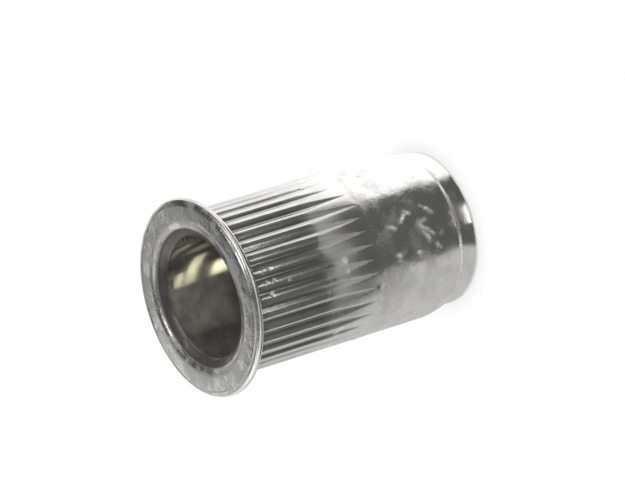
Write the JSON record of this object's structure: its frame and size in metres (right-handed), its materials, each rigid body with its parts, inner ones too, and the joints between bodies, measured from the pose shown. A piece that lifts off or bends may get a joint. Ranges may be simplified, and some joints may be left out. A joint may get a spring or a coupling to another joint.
{
  "type": "rivet nut",
  "caption": "Knurled blind rivet nut with a thin round head, a shallow dished mouth, a plain bore behind it and an open threaded end.",
  "frame": {"origin": "centre of the flat tail face that the nut stands on", "axes": "+Z along the axis of the thread, from the tail face towards the head; X and Y are any two directions across the axis, with a knurl groove on +X"},
  "size_m": [0.0108, 0.0108, 0.0154],
  "materials": {
    "zinc_plated_steel": "satin bright zinc plating over cold-formed steel, scuffed and slightly dulled"
  },
  "bodies": {
    "root": {"rivet_nut": "zinc_plated_steel"}
  },
  "joints": []
}
